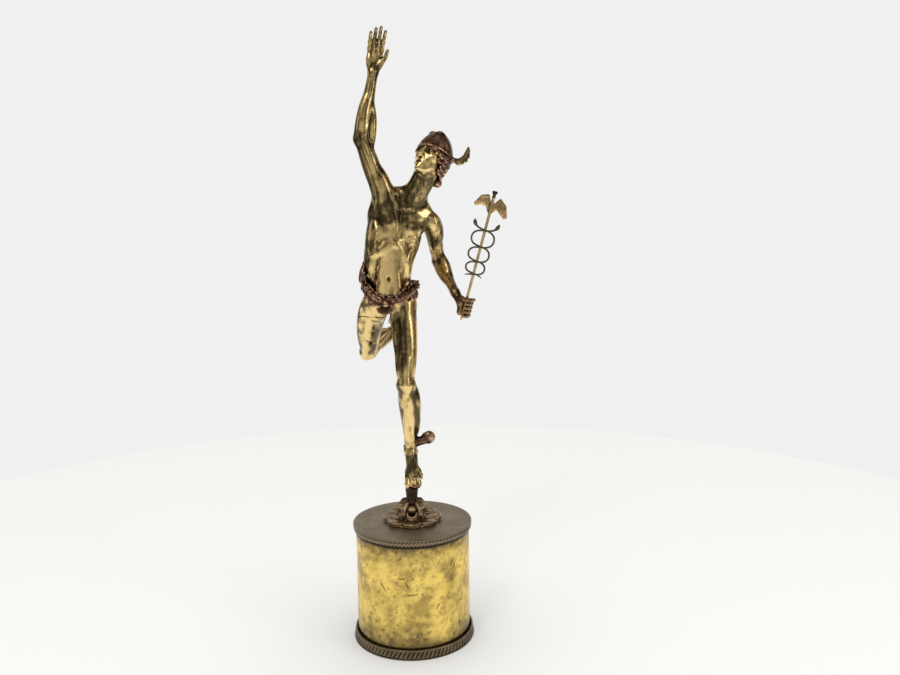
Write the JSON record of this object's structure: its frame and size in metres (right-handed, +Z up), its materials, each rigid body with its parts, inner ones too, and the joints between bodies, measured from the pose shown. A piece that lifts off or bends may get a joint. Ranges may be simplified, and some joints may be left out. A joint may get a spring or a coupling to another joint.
{
  "type": "bronze statuette of a winged messenger god on a drum plinth",
  "caption": "Cast brass statuette of a running winged messenger with a snake rod, poised on one foot on a round drum plinth.",
  "frame": {"origin": "middle of the plinth's underside, on the surface it stands on", "axes": "+Z up, the figure's chest faces -Y, +X is the figure's own left"},
  "size_m": [0.1568, 0.2006, 0.5981],
  "materials": {
    "plinth_brass": "tarnished brass, bright on the edges and dull brown-grey on top",
    "drum_brass": "polished yellow brass sheet with dents, scratches and brown spots",
    "brown_bronze": "coppery brown patina with bright rubbed ridges",
    "figure_bronze": "polished bronze with dark olive-brown patina in the hollows and a red-brown garland, cap and hair",
    "rod_brass": "gilt brass, lightly tarnished",
    "snake_wire": "dark iron wire"
  },
  "bodies": {
    "root": {"plinth_foot": "plinth_brass", "plinth_drum": "drum_brass", "plinth_lid": "plinth_brass", "foliate_mount": "brown_bronze", "figure": "figure_bronze", "caduceus_rod": "rod_brass", "caduceus_wings": "rod_brass", "caduceus_snake_left": "snake_wire", "caduceus_snake_right": "snake_wire"}
  },
  "joints": []
}
